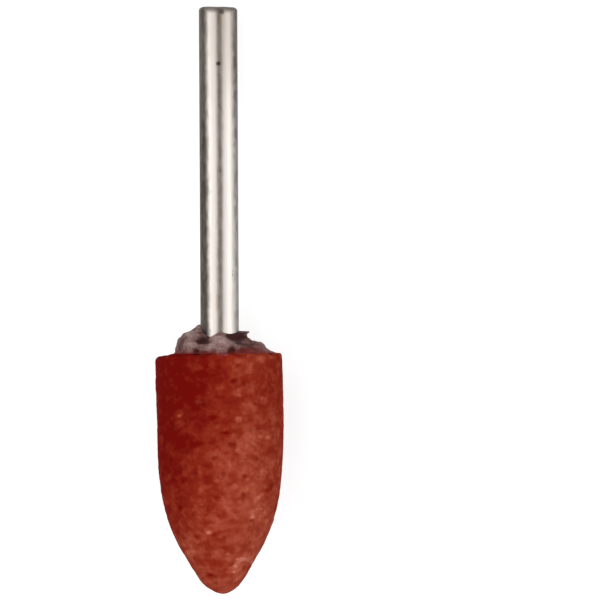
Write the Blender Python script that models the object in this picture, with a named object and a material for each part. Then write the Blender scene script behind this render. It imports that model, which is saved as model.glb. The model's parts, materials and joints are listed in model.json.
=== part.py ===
"""Mounted point: a plain steel shank cemented into a bullet-shaped abrasive head, lying on its side.

Each piece is drawn about its own axis, in metres. Height 0 is the head's flat top face, the shank
rises from it along +Z, and the nose points down along -Z. One empty then lays all the pieces down on
the floor as such a point comes to rest: on the free end of its shank and on the rim of its head.
"""

import math

import bpy

MM = 0.001

# Fineness of the faceted solids
SIDES = 16  # few enough to rest on flats, and divisible by 4, so that one flat faces the floor
CHORD_ERROR = 0.01 * MM
MOUND_STEPS = 6
SHARP_EDGE = math.radians(35)

# Shank
SHANK_DIAMETER = 3.0 * MM
SHANK_EXPOSED = 26.96 * MM
SHANK_BURIED = 10.5 * MM
SHANK_END_ROUND = 0.3 * MM
BURIED_END_CHAMFER = 0.3 * MM
KEY_GROOVES = 3
KEY_GROOVE_WIDTH = 0.9 * MM
KEY_GROOVE_DEPTH = 0.2 * MM
KEY_GROOVE_PITCH = 2.4 * MM
LAST_GROOVE_FROM_END = 1.9 * MM

# Abrasive head
HEAD_DIAMETER = 9.92 * MM
HEAD_LENGTH = 18.71 * MM
WIDEST_BELOW_TOP = 2.88 * MM
BARREL_END_ANGLE = math.radians(3.4)
SHOULDER_RADIUS = 12.8 * MM
FLANK_ANGLE = math.radians(29.9)
NOSE_RADIUS = 3.5 * MM
TIP_START_ANGLE = math.radians(60)
TIP_RADIUS = 1.33 * MM
RIM_ROUND = 0.2 * MM
WORN_RIM_ROUND = 0.8 * MM
WORN_RIM_SIDE = math.radians(180)
WORN_RIM_FOCUS = 3  # the higher, the shorter the worn stretch of the rim

# Cement
BOND_GAP = 0.05 * MM
CEMENT_WALL = 0.3 * MM
CEMENT_UNDER_SHANK = 0.4 * MM
COLLAR_HEIGHT = 1.9 * MM
COLLAR_HEIGHT_SWING = 0.42 * MM
COLLAR_HIGH_SIDE = math.radians(145)
COLLAR_EDGE_MARGIN = 0.75 * MM
COLLAR_MARGIN_SWING = 0.5 * MM
COLLAR_WIDE_SIDE = math.radians(-10)
COLLAR_HOLLOWNESS = 1.35  # 1 is a round mound, 2 a straight cone
COLLAR_HOLLOWNESS_SWING = 0.3
COLLAR_RIPPLE = 0.12 * MM
BASE_RIPPLES = 7
HEIGHT_RIPPLES = 5

SHANK_RADIUS = SHANK_DIAMETER / 2
HEAD_RADIUS = HEAD_DIAMETER / 2
BORE_RADIUS = SHANK_RADIUS + CEMENT_WALL + 2 * BOND_GAP
BORE_DEPTH = SHANK_BURIED + CEMENT_UNDER_SHANK + 2 * BOND_GAP

# Corners stand out so far that each faceted cross-section has the area of the true circle
CORNER_GAIN = math.sqrt(math.tau / (SIDES * math.sin(math.tau / SIDES)))
FLAT_GAIN = CORNER_GAIN * math.cos(math.pi / SIDES)


def clear_scene():
    """Remove every object of the scene."""
    for thing in list(bpy.data.objects):
        bpy.data.objects.remove(thing, do_unlink=True)


def plain_material(name, colour, roughness, metallic):
    """Make a Principled BSDF material of one colour."""
    material = bpy.data.materials.new(name)
    material.use_nodes = True
    shader = material.node_tree.nodes["Principled BSDF"]
    shader.inputs["Base Color"].default_value = (*colour, 1.0)
    shader.inputs["Roughness"].default_value = roughness
    shader.inputs["Metallic"].default_value = metallic
    return material


def steps_in(radius, sweep):
    """Number of straight steps that keep an arc within the chord error."""
    return math.ceil(sweep / (2 * math.acos(1 - CHORD_ERROR / radius)))


def arc(centre, radius, start, end, steps):
    """Points (radius from the axis, height) of an arc, whose angles are measured from outward to up."""
    turns = [start + (end - start) * step / steps for step in range(steps + 1)]
    return [(centre[0] + radius * math.cos(turn), centre[1] + radius * math.sin(turn)) for turn in turns]


def barrel():
    """Depth of the barrel's end below the top face, and the radius of the barrel's gentle arc.

    Down the side, the slope to the axis grows from the barrel's end angle to the flank's angle on the
    shoulder, stays there along the flank, and grows on over the nose and the tip to a right angle.
    The flank's length and the barrel's length are what is left of the head's radius and length.
    """
    half_slope = math.tan(BARREL_END_ANGLE / 2)
    flank_slope = math.tan(FLANK_ANGLE)
    arcs = (
        (SHOULDER_RADIUS, BARREL_END_ANGLE, FLANK_ANGLE),
        (NOSE_RADIUS, FLANK_ANGLE, TIP_START_ANGLE),
        (TIP_RADIUS, TIP_START_ANGLE, math.pi / 2),
    )
    arcs_length = sum(radius * (math.sin(end) - math.sin(start)) for radius, start, end in arcs)
    arcs_width = sum(radius * (math.cos(start) - math.cos(end)) for radius, start, end in arcs)
    length_left = HEAD_LENGTH - arcs_length
    width_left = HEAD_RADIUS + WIDEST_BELOW_TOP * half_slope - arcs_width
    depth = (length_left * flank_slope - width_left) / (flank_slope - half_slope)
    return depth, (depth - WIDEST_BELOW_TOP) / math.sin(BARREL_END_ANGLE)


def side_outline(rim_round):
    """Outline of the head's outside, from the tip on the axis up to the edge of the top face."""
    depth, barrel_radius = barrel()
    barrel_centre = (HEAD_RADIUS - barrel_radius, -WIDEST_BELOW_TOP)
    end_radius = barrel_centre[0] + barrel_radius * math.cos(BARREL_END_ANGLE)
    shoulder_centre = (
        end_radius - SHOULDER_RADIUS * math.cos(BARREL_END_ANGLE),
        -depth + SHOULDER_RADIUS * math.sin(BARREL_END_ANGLE),
    )
    tip_centre = (0.0, TIP_RADIUS - HEAD_LENGTH)
    nose_shift = NOSE_RADIUS - TIP_RADIUS
    nose_centre = (
        -nose_shift * math.cos(TIP_START_ANGLE),
        tip_centre[1] + nose_shift * math.sin(TIP_START_ANGLE),
    )
    rim_shift = barrel_radius - rim_round
    rim_turn = math.asin((WIDEST_BELOW_TOP - rim_round) / rim_shift)
    rim_centre = (barrel_centre[0] + rim_shift * math.cos(rim_turn), -rim_round)
    barrel_sweep = BARREL_END_ANGLE + math.asin(WIDEST_BELOW_TOP / barrel_radius)
    tip_steps = steps_in(TIP_RADIUS, math.pi / 2 - TIP_START_ANGLE)
    nose_steps = steps_in(NOSE_RADIUS, TIP_START_ANGLE - FLANK_ANGLE)
    shoulder_steps = steps_in(SHOULDER_RADIUS, FLANK_ANGLE - BARREL_END_ANGLE)
    barrel_steps = steps_in(barrel_radius, barrel_sweep)
    rim_steps = steps_in(WORN_RIM_ROUND, math.pi / 2)
    points = arc(tip_centre, TIP_RADIUS, -math.pi / 2, -TIP_START_ANGLE, tip_steps)
    points += arc(nose_centre, NOSE_RADIUS, -TIP_START_ANGLE, -FLANK_ANGLE, nose_steps)[1:]
    points += arc(shoulder_centre, SHOULDER_RADIUS, -FLANK_ANGLE, -BARREL_END_ANGLE, shoulder_steps)
    points += arc(barrel_centre, barrel_radius, -BARREL_END_ANGLE, rim_turn, barrel_steps)[1:]
    points += arc(rim_centre, rim_round, rim_turn, math.pi / 2, rim_steps)[1:]
    return points


def rim_round_at(angle):
    """Rounding of the head's rim, larger on its worn side."""
    nearness = max(0.0, math.cos(angle - WORN_RIM_SIDE)) ** WORN_RIM_FOCUS
    return RIM_ROUND + (WORN_RIM_ROUND - RIM_ROUND) * nearness


def head_outline(angle):
    """Outline of the head with its blind bore, from the tip to the centre of the bore's floor."""
    bore = [(BORE_RADIUS, 0.0), (BORE_RADIUS, -BORE_DEPTH), (0.0, -BORE_DEPTH)]
    return side_outline(rim_round_at(angle)) + bore


def buried_outline(offset):
    """Outline of the grooved, buried end of the shank, grown by an offset, from its end upwards."""
    end = -SHANK_BURIED
    surface = SHANK_RADIUS + offset
    groove_floor = surface - KEY_GROOVE_DEPTH
    chamfer = BURIED_END_CHAMFER + offset / 2
    points = [(0.0, end - offset), (surface - chamfer, end - offset), (surface, end - offset + chamfer)]
    for groove in range(KEY_GROOVES):
        low = end + LAST_GROOVE_FROM_END + groove * KEY_GROOVE_PITCH + offset
        high = low + KEY_GROOVE_WIDTH - 2 * offset
        points += [(surface, low), (groove_floor, low), (groove_floor, high), (surface, high)]
    return points


def shank_outline(_angle):
    """Outline of the shank, from its buried end to the centre of its free end face."""
    round_centre = (SHANK_RADIUS - SHANK_END_ROUND, SHANK_EXPOSED - SHANK_END_ROUND)
    steps = steps_in(SHANK_END_ROUND, math.pi / 2)
    free_end = arc(round_centre, SHANK_END_ROUND, 0.0, math.pi / 2, steps)
    return buried_outline(0.0) + free_end + [(0.0, SHANK_EXPOSED)]


def collar_base(angle):
    """Radius of the collar where it lies on the top face, inside the edge of the unworn rim."""
    top_edge = side_outline(RIM_ROUND)[-1][0]
    margin = COLLAR_EDGE_MARGIN - COLLAR_MARGIN_SWING * math.cos(angle - COLLAR_WIDE_SIDE)
    return top_edge - margin + COLLAR_RIPPLE * math.sin(BASE_RIPPLES * angle)


def collar_height(angle):
    """Height to which the collar climbs the shank."""
    swing = COLLAR_HEIGHT_SWING * math.cos(angle - COLLAR_HIGH_SIDE)
    return COLLAR_HEIGHT + swing + COLLAR_RIPPLE * math.sin(HEIGHT_RIPPLES * angle)


def cement_outline(angle):
    """Outline of the cement: a cup round the buried shank, with a mound squeezed out on the head."""
    sleeve = BORE_RADIUS - BOND_GAP
    floor = BOND_GAP - BORE_DEPTH
    inner = SHANK_RADIUS + BOND_GAP
    spread = collar_base(angle) - inner
    height = collar_height(angle)
    hollowness = COLLAR_HOLLOWNESS + COLLAR_HOLLOWNESS_SWING * math.cos(angle - COLLAR_WIDE_SIDE)
    cup = [(0.0, floor), (sleeve, floor), (sleeve, BOND_GAP)]
    mound = [(inner + spread, BOND_GAP)]
    for step in range(1, MOUND_STEPS):
        turn = math.pi / 2 * step / MOUND_STEPS
        radius = inner + spread * math.cos(turn) ** hollowness
        mound.append((radius, BOND_GAP + height * math.sin(turn) ** hollowness))
    mound.append((inner, BOND_GAP + height))
    return cup + mound + buried_outline(BOND_GAP)[::-1]


def turned_piece(name, outline, material, parent):
    """Make a closed body whose outline at each angle runs from one point on the axis to another."""
    angles = [(side + 0.5) * math.tau / SIDES for side in range(SIDES)]
    columns = [outline(angle) for angle in angles]
    rings = len(columns[0]) - 2
    points = [(0.0, 0.0, columns[0][0][1])]
    for ring in range(1, rings + 1):
        for angle, column in zip(angles, columns):
            corner = CORNER_GAIN * column[ring][0]
            points.append((corner * math.cos(angle), corner * math.sin(angle), column[ring][1]))
    points.append((0.0, 0.0, columns[0][-1][1]))
    top_ring = 1 + (rings - 1) * SIDES
    faces = []
    for side in range(SIDES):
        beside = (side + 1) % SIDES
        faces.append((0, 1 + beside, 1 + side))
        for low in range(1, top_ring, SIDES):
            high = low + SIDES
            faces.append((low + side, low + beside, high + beside, high + side))
        faces.append((top_ring + side, top_ring + beside, top_ring + SIDES))
    mesh = bpy.data.meshes.new(name)
    mesh.from_pydata(points, [], faces)
    mesh.materials.append(material)
    mesh.shade_smooth()
    mesh.set_sharp_from_angle(angle=SHARP_EDGE)
    piece = bpy.data.objects.new(name, mesh)
    piece.parent = parent
    bpy.context.scene.collection.objects.link(piece)
    return piece


def lying_tilt():
    """Angle between the axis and the floor, which touches the shank's free end and the head's rim."""
    touch_height = SHANK_EXPOSED - SHANK_END_ROUND
    slopes = [
        math.atan2(FLAT_GAIN * (radius - SHANK_RADIUS), touch_height - height)
        for radius, height in side_outline(RIM_ROUND)
    ]
    return max(slopes)


def lay_down(carrier, pieces):
    """Lay the pieces on the floor with the shank towards +Y, centred over the origin."""
    carrier.rotation_euler = (-math.pi / 2 - lying_tilt(), 0.0, 0.0)
    bpy.context.view_layer.update()
    corners = [piece.matrix_world @ vertex.co for piece in pieces for vertex in piece.data.vertices]
    lowest = [min(corner[axis] for corner in corners) for axis in range(3)]
    highest = [max(corner[axis] for corner in corners) for axis in range(3)]
    middle_x = (lowest[0] + highest[0]) / 2
    middle_y = (lowest[1] + highest[1]) / 2
    carrier.location = (-middle_x, -middle_y, -lowest[2])
    bpy.context.view_layer.update()


def build():
    """Build the mounted point."""
    clear_scene()
    carrier = bpy.data.objects.new("lying_axis", None)
    bpy.context.scene.collection.objects.link(carrier)
    steel = plain_material("bright_steel", (0.72, 0.69, 0.66), roughness=0.25, metallic=1.0)
    grit = plain_material("red_brown_abrasive", (0.26, 0.035, 0.018), roughness=0.9, metallic=0.0)
    cement = plain_material("grey_brown_cement", (0.22, 0.14, 0.135), roughness=0.85, metallic=0.0)
    pieces = [
        turned_piece("shank", shank_outline, steel, carrier),
        turned_piece("abrasive_head", head_outline, grit, carrier),
        turned_piece("bond_cement", cement_outline, cement, carrier),
    ]
    lay_down(carrier, pieces)


build()
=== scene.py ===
"""Looks of a mounted point: a bullet-shaped abrasive stone cemented on a steel shank, lying on white.

Every piece is worked out in millimetres about the point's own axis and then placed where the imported
model has it. In those axes, x runs across, y from the camera's side down to the floor, and z along
the shank, with height 0 at the stone's top face and the stone's tip far below it.
"""

import json
import logging
import math
from dataclasses import dataclass, field
from enum import Enum
from functools import reduce
from itertools import product
from typing import Any, Callable, NamedTuple

import bpy
import numpy as np
from mathutils import Matrix, Vector

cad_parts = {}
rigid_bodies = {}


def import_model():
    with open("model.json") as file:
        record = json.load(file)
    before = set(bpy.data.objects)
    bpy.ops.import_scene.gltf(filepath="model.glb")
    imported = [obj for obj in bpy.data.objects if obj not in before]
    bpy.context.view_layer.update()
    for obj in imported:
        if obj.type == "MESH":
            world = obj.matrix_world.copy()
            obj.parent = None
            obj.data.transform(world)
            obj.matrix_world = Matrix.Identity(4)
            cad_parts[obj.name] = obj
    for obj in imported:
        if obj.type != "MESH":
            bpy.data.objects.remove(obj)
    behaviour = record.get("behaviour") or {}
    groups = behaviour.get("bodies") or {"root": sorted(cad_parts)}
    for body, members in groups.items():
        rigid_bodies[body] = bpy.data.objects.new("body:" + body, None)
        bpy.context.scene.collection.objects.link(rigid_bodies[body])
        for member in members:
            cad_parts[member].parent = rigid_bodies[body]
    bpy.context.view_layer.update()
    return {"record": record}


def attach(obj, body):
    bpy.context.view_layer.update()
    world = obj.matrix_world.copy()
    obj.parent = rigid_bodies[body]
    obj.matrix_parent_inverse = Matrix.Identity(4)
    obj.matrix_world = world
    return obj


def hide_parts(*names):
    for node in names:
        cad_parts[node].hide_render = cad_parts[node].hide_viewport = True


MM = 0.001
BODY = "root"
FRONT_FADE = 0.8
TINY = 1e-12
log = logging.getLogger("mounted_point")

Array = np.ndarray
Colour = tuple[float, float, float]
Socket = bpy.types.NodeSocket


class Slot(Enum):
    """Material slots of the record."""

    STEEL = "bright_steel"
    GRIT = "red_brown_abrasive"
    CEMENT = "grey_brown_cement"


class Node(Enum):
    """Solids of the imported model."""

    SHANK = "shank"
    HEAD = "abrasive_head"
    CEMENT = "bond_cement"


class Ramp(NamedTuple):
    """A smooth change from a start to an end while a value goes from low to high."""

    low: float
    high: float
    start: float = 0.0
    end: float = 1.0


class Pattern(NamedTuple):
    """A noise: its size in millimetres, its pace along the shank against across, and its make-up."""

    size: float
    pace: float = 1.0
    detail: float = 1.0
    roughness: float = 0.5


class Relief(NamedTuple):
    """A random unevenness: its size along the surface and its height, in millimetres."""

    size: float
    rise: float


# Placing


@dataclass(frozen=True)
class PointAxes:
    """Where the point's own axes lie in the shared frame."""

    origin: Vector
    across: Vector
    down: Vector
    along: Vector

    @classmethod
    def from_record(cls, record: dict[str, Any], exposed: float) -> "PointAxes":
        """Find the axes from the record's mount on the shank's end face.

        Args:
            record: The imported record.
            exposed: Length of the shank above the stone, in millimetres.

        Returns:
            The axes, with their origin at the middle of the stone's top face.
        """
        mount = next(m for m in record["mounts"] if m["name"] == "shank_end")
        along = Vector(mount["axis"]).normalized()
        across = Vector((1.0, 0.0, 0.0))
        origin = Vector(mount["pos_m"]) - along * exposed * MM
        return cls(origin, across, along.cross(across), along)

    def turn(self) -> Matrix:
        """Rotation from the point's axes to the shared frame."""
        return Matrix((self.across, self.down, self.along)).transposed()

    def to_frame(self, places: Array) -> Array:
        """Bring places from the point's axes, in millimetres, to the shared frame, in metres.

        Args:
            places: Places in an array whose last axis is x, y, z.

        Returns:
            The same places in the shared frame.
        """
        basis = np.array([self.across, self.down, self.along])
        return places @ basis * MM + np.array(self.origin)


# Surfaces


class RandomField:
    """A smooth random field in space."""

    CELLS = 48

    def __init__(self, seed: int) -> None:
        """Draw the field's random numbers.

        Args:
            seed: Seed of the random numbers.
        """
        draw = np.random.default_rng(seed)
        self.heights = draw.uniform(-1.0, 1.0, (self.CELLS,) * 3)
        self.centres = draw.uniform(0.0, 1.0, (self.CELLS,) * 3 + (3,))

    def swell(self, places: Array, grain: float) -> Array:
        """Random heights at the corners of a lattice, blended with a smoothstep in between.

        Args:
            places: Places, with x, y, z on the last axis.
            grain: Lattice spacing.

        Returns:
            Heights between -1 and 1.
        """
        scaled = places / grain
        cell = np.floor(scaled).astype(int)
        part = smooth(scaled - cell)
        total = np.zeros(places.shape[:-1])
        for corner in product((0, 1), repeat=3):
            spot = (cell + corner) % self.CELLS
            weight = np.where(np.array(corner, bool), part, 1.0 - part).prod(axis=-1)
            total += weight * self.heights[spot[..., 0], spot[..., 1], spot[..., 2]]
        return total

    def grains(self, places: Array, grain: float) -> Array:
        """Distance to the nearest of the grains, one of which sits at random in each lattice cell.

        Args:
            places: Places, with x, y, z on the last axis.
            grain: Lattice spacing.

        Returns:
            Distances in lattice spacings: 0 at a grain's middle, about 1 far from any.
        """
        scaled = places / grain
        cell = np.floor(scaled).astype(int)
        nearest = np.full(places.shape[:-1], np.inf)
        for step in product((-1, 0, 1), repeat=3):
            near = cell + step
            spot = near % self.CELLS
            centre = near + self.centres[spot[..., 0], spot[..., 1], spot[..., 2]]
            nearest = np.minimum(nearest, ((scaled - centre) ** 2).sum(axis=-1))
        return np.sqrt(nearest)


def smooth(part: Array) -> Array:
    """Smoothstep of values from 0 to 1: three times the square less twice the cube."""
    return part * part * (3.0 - 2.0 * part)


def ease(values: Array, low: float, high: float) -> Array:
    """Smoothstep from 0 at the low value to 1 at the high one."""
    return smooth(np.clip((values - low) / (high - low), 0.0, 1.0))


def in_front(places: Array) -> Array:
    """Mask of the side that faces up: 0 level with the axis and behind it, 1 well before it."""
    return ease(-places[..., 1], 0.0, FRONT_FADE)


def angle_from(turn: Array, middle: float) -> Array:
    """Angles of a turn from a middle one, the shorter way round."""
    return np.angle(np.exp(1j * (turn - middle)))


def cubic_through(knots: Array, places: Array, closed: bool) -> Array:
    """Cubic curve through evenly spaced knots, whose slope at each is half the step between its neighbours.

    Args:
        knots: Knots on the first axis.
        places: Where to read the curve, counted in knots.
        closed: Whether the last knot joins the first one.

    Returns:
        The curve's values, with the places on the first axis.
    """
    count = len(knots)
    first = np.floor(places).astype(int)
    if not closed:
        first = np.clip(first, 0, count - 2)
    part = (places - first).reshape((-1,) + (1,) * (knots.ndim - 1))
    spots = [first + step for step in (-1, 0, 1, 2)]
    spots = [spot % count if closed else np.clip(spot, 0, count - 1) for spot in spots]
    before, start, end, after = (knots[spot] for spot in spots)
    slope = (end - before) / 2.0
    end_slope = (after - start) / 2.0
    rise = end - start
    return (
        start
        + slope * part
        + (3.0 * rise - 2.0 * slope - end_slope) * part**2
        + (slope + end_slope - 2.0 * rise) * part**3
    )


def arc_points(centre: tuple[Any, Any], radius: Any, start: Any, end: Any, steps: int) -> Array:
    """Arc in the half-plane of the axis: centre plus radius times cosine and sine of an even sweep.

    Args:
        centre: Radius and height of the arc's centre, numbers or arrays over the turn.
        radius: The arc's radius.
        start: First angle, measured from outward to upward.
        end: Last angle.
        steps: Number of steps.

    Returns:
        Points with steps on the first axis, the turn on the second, and radius and height last.
    """
    sweep = np.linspace(0.0, 1.0, steps + 1)[:, None]
    angle = start + (end - start) * sweep
    radius, out, up = np.broadcast_arrays(radius, centre[0], centre[1])
    return np.stack([out + radius * np.cos(angle), up + radius * np.sin(angle)], axis=-1)


def line_points(start: tuple[Any, Any], end: tuple[Any, Any], steps: int) -> Array:
    """Straight line in the half-plane of the axis, in even steps, without its first point.

    Args:
        start: Radius and height where it starts, numbers or arrays over the turn.
        end: Radius and height where it ends.
        steps: Number of steps.

    Returns:
        Points with steps on the first axis, the turn on the second, and radius and height last.
    """
    sweep = np.linspace(0.0, 1.0, steps + 1)[1:, None]
    start_out, start_up, end_out, end_up = np.broadcast_arrays(*start, *end)
    out = start_out + (end_out - start_out) * sweep
    up = start_up + (end_up - start_up) * sweep
    return np.stack([out, up], axis=-1)


def swing(outline: Array, turn: Array) -> Array:
    """Swing outlines round the axis: x and y are the radius times cosine and sine of the turn.

    Args:
        outline: Radius and height, with rings on the first axis and the turn on the second.
        turn: The turn's angles.

    Returns:
        Places x, y, z on the last axis.
    """
    radius = outline[..., 0]
    return np.stack([radius * np.cos(turn), radius * np.sin(turn), outline[..., 1]], axis=-1)


def outward(places: Array) -> Array:
    """Unit normals of a closed turned grid: the cross product of its steps round and its steps along.

    Args:
        places: Rings on the first axis, from the low pole to the high one, and the turn on the second.

    Returns:
        Normals that point away from the solid.
    """
    round_step = np.roll(places, -1, axis=1) - np.roll(places, 1, axis=1)
    along_step = np.gradient(places, axis=0)
    normal = np.cross(round_step, along_step)
    length = np.linalg.norm(normal, axis=-1, keepdims=True)
    return normal / np.maximum(length, TINY)


def closed_mesh(name: str, axes: PointAxes, places: Array, poles: tuple[float, float]) -> bpy.types.Object:
    """Make a closed mesh of rings: quads between neighbouring rings, and a fan at each pole.

    Args:
        name: Name of the piece.
        axes: The point's axes.
        places: Rings on the first axis, the turn on the second, and x, y, z last, in millimetres.
        poles: Heights of the first and the last pole on the axis.

    Returns:
        The object, at the origin of the shared frame.
    """
    rings, sides = places.shape[:2]
    ends = np.array([[0.0, 0.0, poles[0]], [0.0, 0.0, poles[1]]])
    corners = axes.to_frame(np.concatenate([places.reshape(-1, 3), ends]))
    side = np.arange(sides)
    beside = (side + 1) % sides
    low = (np.arange(rings - 1) * sides)[:, None]
    high = low + sides
    quads = np.stack([low + side, low + beside, high + beside, high + side], axis=-1).reshape(-1, 4)
    first, last = rings * sides, rings * sides + 1
    top = (rings - 1) * sides
    low_fan = np.stack([np.full(sides, first), beside, side], axis=-1)
    high_fan = np.stack([top + side, top + beside, np.full(sides, last)], axis=-1)
    loops = np.concatenate([quads.ravel(), low_fan.ravel(), high_fan.ravel()])
    counts = np.concatenate([np.full(len(quads), 4), np.full(2 * sides, 3)])
    mesh = bpy.data.meshes.new(name)
    mesh.vertices.add(len(corners))
    mesh.vertices.foreach_set("co", corners.astype(np.float32).ravel())
    mesh.loops.add(len(loops))
    mesh.loops.foreach_set("vertex_index", loops.astype(np.int32))
    mesh.polygons.add(len(counts))
    mesh.polygons.foreach_set("loop_start", (np.cumsum(counts) - counts).astype(np.int32))
    mesh.update(calc_edges=True)
    mesh.validate()
    mesh.shade_smooth()
    piece = bpy.data.objects.new(name, mesh)
    bpy.context.scene.collection.objects.link(piece)
    return piece


def paint(piece: bpy.types.Object, name: str, values: Array) -> None:
    """Store one number for each point of a closed mesh, with 0 at its two poles.

    Args:
        piece: The piece.
        name: Name of the attribute.
        values: Numbers, with rings on the first axis and the turn on the second.
    """
    numbers = np.concatenate([values.ravel(), [0.0, 0.0]]).astype(np.float32)
    piece.data.attributes.new(name, "FLOAT", "POINT").data.foreach_set("value", numbers)


# Wiring of materials


@dataclass
class Wiring:
    """Adds shader nodes to a tree and joins them."""

    tree: bpy.types.NodeTree

    def add(self, kind: str, inputs: dict[Any, Any] | None = None, **settings: Any) -> bpy.types.Node:
        """Add a node.

        Args:
            kind: Type name of the node, without its leading ShaderNode.
            inputs: Sockets or plain values for the node's inputs.
            **settings: The node's own settings.

        Returns:
            The node.
        """
        node = self.tree.nodes.new("ShaderNode" + kind)
        for key, value in settings.items():
            setattr(node, key, value)
        for key, value in (inputs or {}).items():
            if isinstance(value, Socket):
                self.tree.links.new(value, node.inputs[key])
            else:
                node.inputs[key].default_value = value
        return node

    def math(self, operation: str, *values: Any, clamp: bool = False) -> Socket:
        """Result of a Math node on one to three values."""
        node = self.add("Math", dict(enumerate(values)), operation=operation, use_clamp=clamp)
        return node.outputs[0]

    def chain(self, operation: str, *values: Any) -> Socket:
        """Result of a Math operation on any number of values, taken from the left."""
        return reduce(lambda first, second: self.math(operation, first, second), values)

    def vector(self, operation: str, *values: Any) -> bpy.types.Node:
        """A Vector Math node on one or two values."""
        return self.add("VectorMath", dict(enumerate(values)), operation=operation)

    def scale(self, value: Any, ramp: Ramp) -> Socket:
        """A value taken through a ramp."""
        inputs = {"Value": value, **dict(zip(("From Min", "From Max", "To Min", "To Max"), ramp))}
        return self.add("MapRange", inputs, interpolation_type="SMOOTHSTEP").outputs[0]

    def blend(self, factor: Any, first: Any, second: Any) -> Socket:
        """Colour between two colours."""
        first, second = ((*c, 1.0) if isinstance(c, tuple) else c for c in (first, second))
        return self.add("Mix", {0: factor, 6: first, 7: second}, data_type="RGBA").outputs[2]

    def shade(self, tone: Socket, low: Colour, middle: Colour, high: Colour) -> Socket:
        """Colour from the low one at 0, over the middle one at a half, to the high one at 1."""
        lower = self.blend(self.math("MULTIPLY", tone, 2.0, clamp=True), low, middle)
        return self.blend(self.math("MULTIPLY_ADD", tone, 2.0, -1.0, clamp=True), lower, high)

    def cloud(self, place: Any, scale: Any, detail: float, roughness: float = 0.5) -> bpy.types.Node:
        """A Noise Texture node."""
        inputs = {"Vector": place, "Scale": scale, "Detail": detail, "Roughness": roughness}
        return self.add("TexNoise", inputs)

    def noise(self, place: Socket, pattern: Pattern) -> Socket:
        """Noise of a pattern, drawn out along the shank where its pace there is below 1."""
        drawn = self.add("Mapping", {"Vector": place, "Scale": (1.0, 1.0, pattern.pace)}).outputs[0]
        return self.cloud(drawn, 1.0 / pattern.size, pattern.detail, pattern.roughness).outputs["Fac"]

    def place(self, axes: PointAxes) -> Socket:
        """Object coordinates turned into the point's own axes, in millimetres."""
        coordinates = self.add("TexCoord").outputs["Object"]
        inputs = {
            "Vector": coordinates,
            "Location": axes.origin,
            "Rotation": axes.turn().to_euler(),
            "Scale": (MM, MM, MM),
        }
        return self.add("Mapping", inputs, vector_type="TEXTURE").outputs[0]

    def attribute(self, name: str) -> Socket:
        """A number stored on the piece's points."""
        return self.add("Attribute", attribute_name=name).outputs["Fac"]

    def bump(self, height: Socket, depth: float) -> Socket:
        """Normal of a surface with a height field, whose depth is in millimetres."""
        inputs = {"Height": height, "Distance": depth * MM, "Strength": 1.0}
        return self.add("Bump", inputs).outputs[0]

    def feed(self, node: bpy.types.Node, sockets: dict[str, Socket]) -> None:
        """Join sockets to a node's inputs, by name."""
        for name, socket in sockets.items():
            self.tree.links.new(socket, node.inputs[name])


def new_material(name: str) -> tuple[bpy.types.Material, Wiring, bpy.types.Node]:
    """Make an empty material.

    Args:
        name: Name of the material.

    Returns:
        The material, its wiring and its Principled BSDF.
    """
    material = bpy.data.materials.new(name)
    material.use_nodes = True
    return material, Wiring(material.node_tree), material.node_tree.nodes["Principled BSDF"]


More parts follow.
